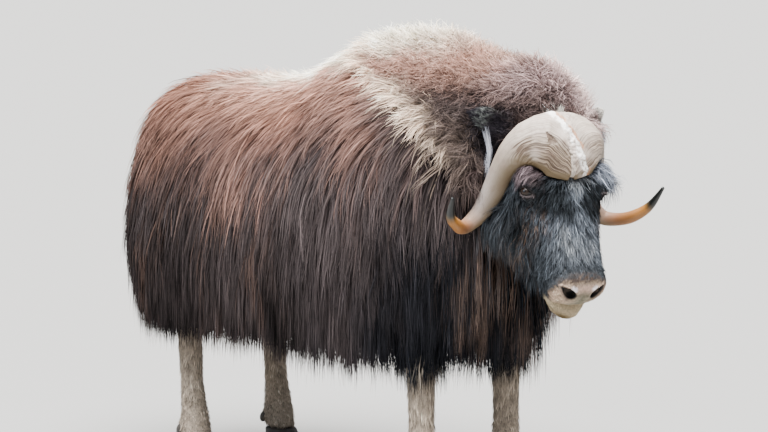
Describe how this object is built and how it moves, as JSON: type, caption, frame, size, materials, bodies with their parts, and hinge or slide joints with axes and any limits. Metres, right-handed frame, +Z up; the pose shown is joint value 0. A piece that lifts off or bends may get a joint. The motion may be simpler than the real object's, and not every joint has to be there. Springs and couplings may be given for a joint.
{
  "type": "muskox",
  "caption": "Standing bull muskox at life size, head low and turned, with horns that meet on the brow and a long coat like a skirt.",
  "frame": {"origin": "on the floor under the middle of the animal's bounding box", "axes": "+X forwards along the trunk, towards the head, +Y to the animal's left, +Z up"},
  "size_m": [2.0118, 0.7796, 1.3493],
  "materials": {
    "body_coat": "long coarse brown hair over dense wool",
    "face_coat": "short charcoal and grey hair",
    "leg_coat": "short pale hair",
    "horn": "fibrous keratin, smooth and darker towards the tips",
    "hoof": "worn black horn",
    "eye": "wet and glossy"
  },
  "bodies": {
    "root": {"trunk": "body_coat", "neck": "body_coat", "throat_mane": "body_coat", "tail": "body_coat", "head": "face_coat", "ear_left": "face_coat", "ear_right": "face_coat", "horn_left": "horn", "horn_right": "horn", "eye_left": "eye", "eye_right": "eye", "leg_fore_left": "leg_coat", "leg_fore_right": "leg_coat", "leg_hind_left": "leg_coat", "leg_hind_right": "leg_coat", "hoof_fore_left_outer": "hoof", "hoof_fore_left_inner": "hoof", "hoof_fore_right_outer": "hoof", "hoof_fore_right_inner": "hoof", "hoof_hind_left_outer": "hoof", "hoof_hind_left_inner": "hoof", "hoof_hind_right_outer": "hoof", "hoof_hind_right_inner": "hoof"}
  },
  "joints": []
}
